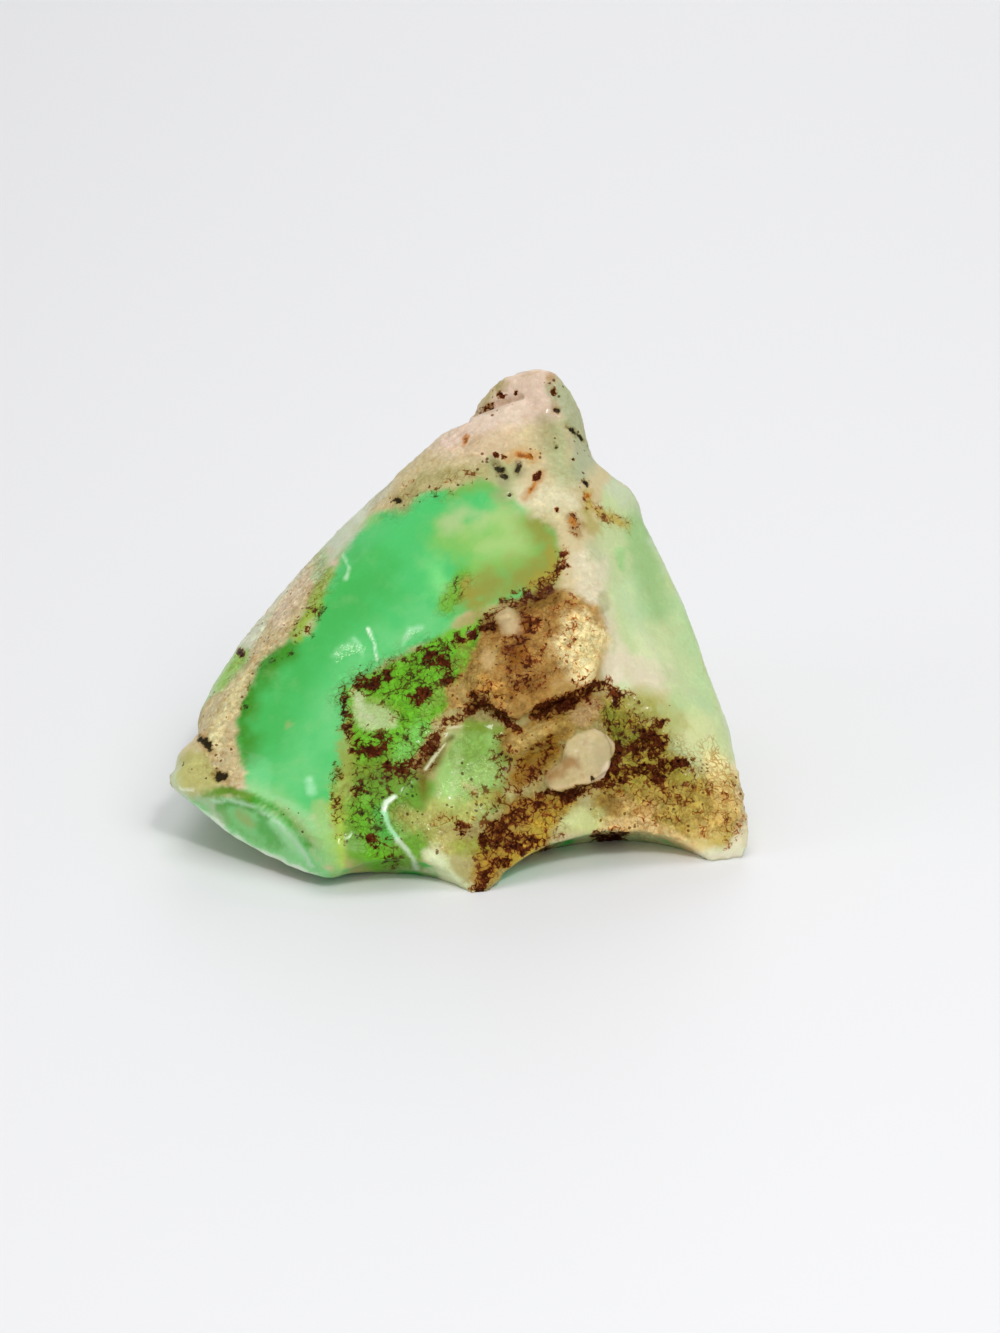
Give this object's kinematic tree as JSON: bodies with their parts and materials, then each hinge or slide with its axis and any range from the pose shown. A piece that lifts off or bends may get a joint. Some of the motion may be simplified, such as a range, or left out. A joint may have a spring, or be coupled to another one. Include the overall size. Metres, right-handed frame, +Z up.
{
  "type": "raw chrysoprase",
  "caption": "Rough chunk of apple-green translucent chalcedony with a cream rind and brown dendrites, resting on its flat broken underside.",
  "frame": {"origin": "middle of the box's footprint, on the plane of the flat underside that the stone rests on", "axes": "+Z up, -Y towards the side with the green window and the dendrites, +X to that side's right"},
  "size_m": [0.0426, 0.0356, 0.0305],
  "materials": {
    "chrysoprase": null
  },
  "bodies": {
    "root": {"chrysoprase": "chrysoprase"}
  },
  "joints": []
}
